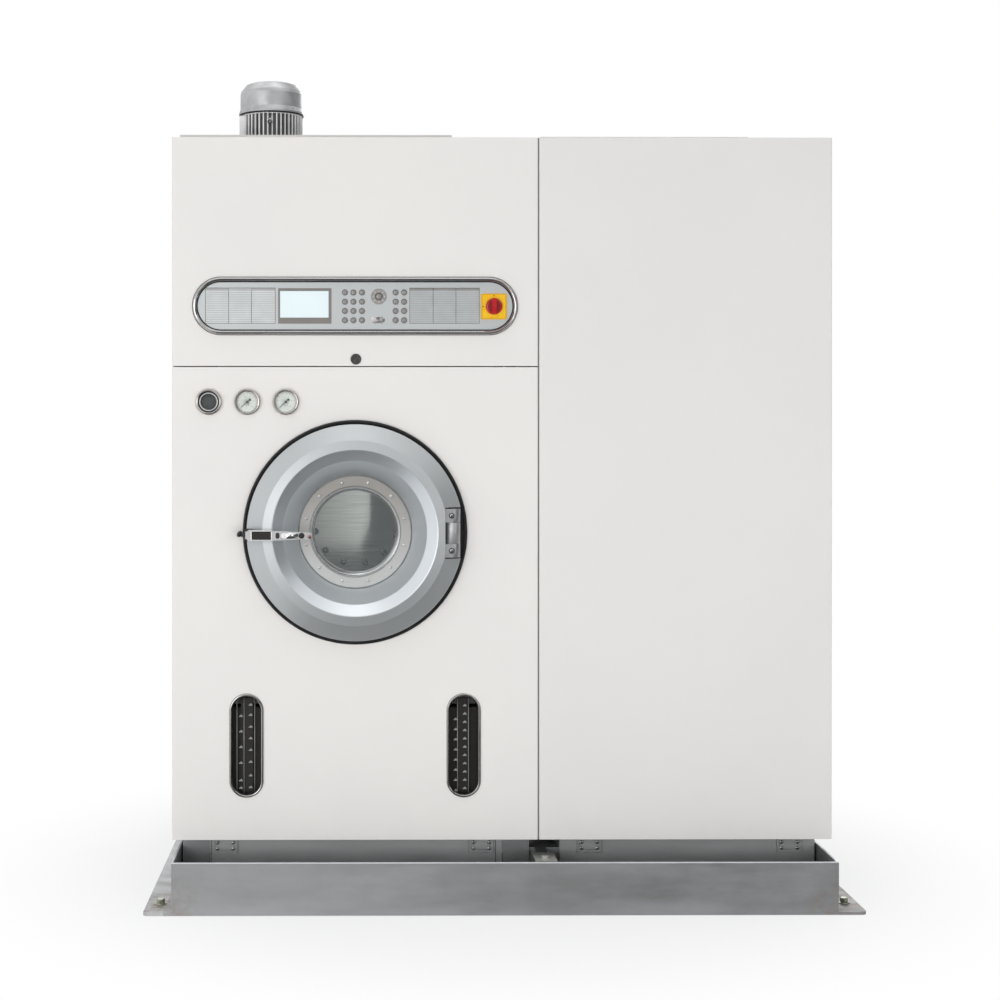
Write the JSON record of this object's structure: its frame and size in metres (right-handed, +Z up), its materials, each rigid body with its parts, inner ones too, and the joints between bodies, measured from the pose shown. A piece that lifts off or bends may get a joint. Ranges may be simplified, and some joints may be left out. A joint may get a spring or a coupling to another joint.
{
  "type": "dry cleaning machine",
  "caption": "Front-loading dry cleaning machine: drum cabinet with round door and control panel, distillation cabinet, roof fan motor and drip tray.",
  "frame": {"origin": "on the floor, under the middle of the drip tray's outline", "axes": "+X to the right seen from the front, +Y to the back, +Z up"},
  "size_m": [1.844, 1.3, 2.188],
  "materials": {
    "tray_steel": "painted grey steel, slightly mottled",
    "white_panels": "off-white powder coat",
    "stainless": "brushed stainless steel",
    "cast_aluminium": "turned and painted cast aluminium",
    "chrome": "bright chrome",
    "hinge_steel": "machined steel",
    "black_rubber": "black rubber",
    "black_metal": "black painted metal",
    "motor_paint": "grey-blue motor paint",
    "door_glass": "clear toughened glass",
    "yellow_plastic": "gloss yellow",
    "red_plastic": "gloss red",
    "display_plastic": "brown-grey moulded plastic",
    "key_metal": "domed metal keys"
  },
  "bodies": {
    "machine": {"drip_tray": "tray_steel", "machine_frame": "tray_steel", "plinth_panels": "tray_steel", "lower_front_panel": "white_panels", "right_front_panel": "white_panels", "cabinet_panels": "white_panels", "roof_covers": "white_panels", "instruments": "chrome", "window_bezels": "chrome", "solvent_tanks": "black_metal", "door_seal": "black_rubber", "drum_shell": "stainless", "hinge_bracket": "hinge_steel", "latch_catch": "black_metal", "drive_motor": "motor_paint", "drive_belt": "black_rubber", "fan_motor": "cast_aluminium", "fan_cowl": "cast_aluminium", "solvent_circuit": "stainless"},
    "upper_panel": {"upper_front_panel": "white_panels", "control_bezel": "chrome", "control_face": "stainless", "display": "display_plastic", "switch_plate": "yellow_plastic"},
    "door": {"door_disc": "cast_aluminium", "door_glass": "door_glass", "clamp_ring": "cast_aluminium", "door_fittings": "hinge_steel"},
    "latch": {"latch_handle": "chrome"},
    "drum": {"drum": "stainless", "drum_pulley": "hinge_steel"},
    "motor_pulley": {"motor_pulley": "hinge_steel"},
    "fan_impeller": {"fan_impeller": "cast_aluminium"},
    "needle_left": {"needle_left": "black_metal"},
    "needle_right": {"needle_right": "black_metal"},
    "switch_knob": {"switch_knob": "red_plastic"},
    "cam_lock": {"cam_lock": "hinge_steel"},
    "key_switch": {"key_switch": "hinge_steel"},
    "cursor_ring": {"cursor_ring": "key_metal"},
    "cursor_key": {"cursor_key": "key_metal"},
    "number_key_1": {"number_key_1": "key_metal"},
    "number_key_2": {"number_key_2": "key_metal"},
    "number_key_3": {"number_key_3": "key_metal"},
    "number_key_4": {"number_key_4": "key_metal"},
    "number_key_5": {"number_key_5": "key_metal"},
    "number_key_6": {"number_key_6": "key_metal"},
    "number_key_7": {"number_key_7": "key_metal"},
    "number_key_8": {"number_key_8": "key_metal"},
    "number_key_9": {"number_key_9": "key_metal"},
    "number_key_10": {"number_key_10": "key_metal"},
    "number_key_11": {"number_key_11": "key_metal"},
    "number_key_12": {"number_key_12": "key_metal"},
    "function_key_1": {"function_key_1": "key_metal"},
    "function_key_2": {"function_key_2": "key_metal"},
    "function_key_3": {"function_key_3": "key_metal"},
    "function_key_4": {"function_key_4": "key_metal"},
    "function_key_5": {"function_key_5": "key_metal"},
    "function_key_6": {"function_key_6": "key_metal"},
    "function_key_7": {"function_key_7": "key_metal"},
    "function_key_8": {"function_key_8": "key_metal"}
  },
  "joints": [
    {"name": "door_hinge", "type": "hinge", "parent": "machine", "child": "door", "pos_m": [-0.1305, -0.588, 0.97], "axis": [0, 0, 1], "range_deg": [0, 130]},
    {"name": "latch_swing", "type": "hinge", "parent": "door", "child": "latch", "pos_m": [-0.6585, -0.612, 0.966], "axis": [0, 0, -1], "range_deg": [0, 90]},
    {"name": "upper_panel_hinge", "type": "hinge", "parent": "machine", "child": "upper_panel", "pos_m": [-0.3825, -0.539, 1.987], "axis": [-1, 0, 0], "range_deg": [0, 80]},
    {"name": "drum_spin", "type": "hinge", "parent": "machine", "child": "drum", "pos_m": [-0.3825, -0.235, 0.97], "axis": [0, 1, 0], "continuous": true},
    {"name": "motor_spin", "type": "hinge", "parent": "machine", "child": "motor_pulley", "pos_m": [-0.3825, 0.215, 0.43], "axis": [0, 1, 0], "continuous": true},
    {"name": "fan_spin", "type": "hinge", "parent": "machine", "child": "fan_impeller", "pos_m": [-0.614, -0.25, 1.995], "axis": [0, 0, 1], "continuous": true},
    {"name": "main_switch_turn", "type": "hinge", "parent": "upper_panel", "child": "switch_knob", "pos_m": [-0.0225, -0.558, 1.5555], "axis": [0, 1, 0], "range_deg": [0, 90]},
    {"name": "cam_lock_turn", "type": "hinge", "parent": "upper_panel", "child": "cam_lock", "pos_m": [-0.3805, -0.55, 1.419], "axis": [0, 1, 0], "range_deg": [0, 90]},
    {"name": "key_switch_turn", "type": "hinge", "parent": "upper_panel", "child": "key_switch", "pos_m": [-0.3145, -0.55, 1.521], "axis": [0, 1, 0], "range_deg": [0, 90]},
    {"name": "needle_left_sweep", "type": "hinge", "parent": "machine", "child": "needle_left", "pos_m": [-0.662, -0.555, 1.308], "axis": [0, 1, 0], "range_deg": [0, 260], "stiffness_Nm_per_rad": 0.001},
    {"name": "needle_right_sweep", "type": "hinge", "parent": "machine", "child": "needle_right", "pos_m": [-0.562, -0.555, 1.308], "axis": [0, 1, 0], "range_deg": [0, 260], "stiffness_Nm_per_rad": 0.001},
    {"name": "cursor_ring_press", "type": "slide", "parent": "upper_panel", "child": "cursor_ring", "axis": [0, 1, 0], "range_m": [0, 0.001], "stiffness_N_per_m": 300},
    {"name": "cursor_key_press", "type": "slide", "parent": "upper_panel", "child": "cursor_key", "axis": [0, 1, 0], "range_m": [0, 0.001], "stiffness_N_per_m": 300},
    {"name": "number_key_1_press", "type": "slide", "parent": "upper_panel", "child": "number_key_1", "axis": [0, 1, 0], "range_m": [0, 0.001], "stiffness_N_per_m": 300},
    {"name": "number_key_2_press", "type": "slide", "parent": "upper_panel", "child": "number_key_2", "axis": [0, 1, 0], "range_m": [0, 0.001], "stiffness_N_per_m": 300},
    {"name": "number_key_3_press", "type": "slide", "parent": "upper_panel", "child": "number_key_3", "axis": [0, 1, 0], "range_m": [0, 0.001], "stiffness_N_per_m": 300},
    {"name": "number_key_4_press", "type": "slide", "parent": "upper_panel", "child": "number_key_4", "axis": [0, 1, 0], "range_m": [0, 0.001], "stiffness_N_per_m": 300},
    {"name": "number_key_5_press", "type": "slide", "parent": "upper_panel", "child": "number_key_5", "axis": [0, 1, 0], "range_m": [0, 0.001], "stiffness_N_per_m": 300},
    {"name": "number_key_6_press", "type": "slide", "parent": "upper_panel", "child": "number_key_6", "axis": [0, 1, 0], "range_m": [0, 0.001], "stiffness_N_per_m": 300},
    {"name": "number_key_7_press", "type": "slide", "parent": "upper_panel", "child": "number_key_7", "axis": [0, 1, 0], "range_m": [0, 0.001], "stiffness_N_per_m": 300},
    {"name": "number_key_8_press", "type": "slide", "parent": "upper_panel", "child": "number_key_8", "axis": [0, 1, 0], "range_m": [0, 0.001], "stiffness_N_per_m": 300},
    {"name": "number_key_9_press", "type": "slide", "parent": "upper_panel", "child": "number_key_9", "axis": [0, 1, 0], "range_m": [0, 0.001], "stiffness_N_per_m": 300},
    {"name": "number_key_10_press", "type": "slide", "parent": "upper_panel", "child": "number_key_10", "axis": [0, 1, 0], "range_m": [0, 0.001], "stiffness_N_per_m": 300},
    {"name": "number_key_11_press", "type": "slide", "parent": "upper_panel", "child": "number_key_11", "axis": [0, 1, 0], "range_m": [0, 0.001], "stiffness_N_per_m": 300},
    {"name": "number_key_12_press", "type": "slide", "parent": "upper_panel", "child": "number_key_12", "axis": [0, 1, 0], "range_m": [0, 0.001], "stiffness_N_per_m": 300},
    {"name": "function_key_1_press", "type": "slide", "parent": "upper_panel", "child": "function_key_1", "axis": [0, 1, 0], "range_m": [0, 0.001], "stiffness_N_per_m": 300},
    {"name": "function_key_2_press", "type": "slide", "parent": "upper_panel", "child": "function_key_2", "axis": [0, 1, 0], "range_m": [0, 0.001], "stiffness_N_per_m": 300},
    {"name": "function_key_3_press", "type": "slide", "parent": "upper_panel", "child": "function_key_3", "axis": [0, 1, 0], "range_m": [0, 0.001], "stiffness_N_per_m": 300},
    {"name": "function_key_4_press", "type": "slide", "parent": "upper_panel", "child": "function_key_4", "axis": [0, 1, 0], "range_m": [0, 0.001], "stiffness_N_per_m": 300},
    {"name": "function_key_5_press", "type": "slide", "parent": "upper_panel", "child": "function_key_5", "axis": [0, 1, 0], "range_m": [0, 0.001], "stiffness_N_per_m": 300},
    {"name": "function_key_6_press", "type": "slide", "parent": "upper_panel", "child": "function_key_6", "axis": [0, 1, 0], "range_m": [0, 0.001], "stiffness_N_per_m": 300},
    {"name": "function_key_7_press", "type": "slide", "parent": "upper_panel", "child": "function_key_7", "axis": [0, 1, 0], "range_m": [0, 0.001], "stiffness_N_per_m": 300},
    {"name": "function_key_8_press", "type": "slide", "parent": "upper_panel", "child": "function_key_8", "axis": [0, 1, 0], "range_m": [0, 0.001], "stiffness_N_per_m": 300}
  ],
  "couplings": [
    {"joint": "motor_spin", "follows": "drum_spin", "ratio": 3.75}
  ]
}
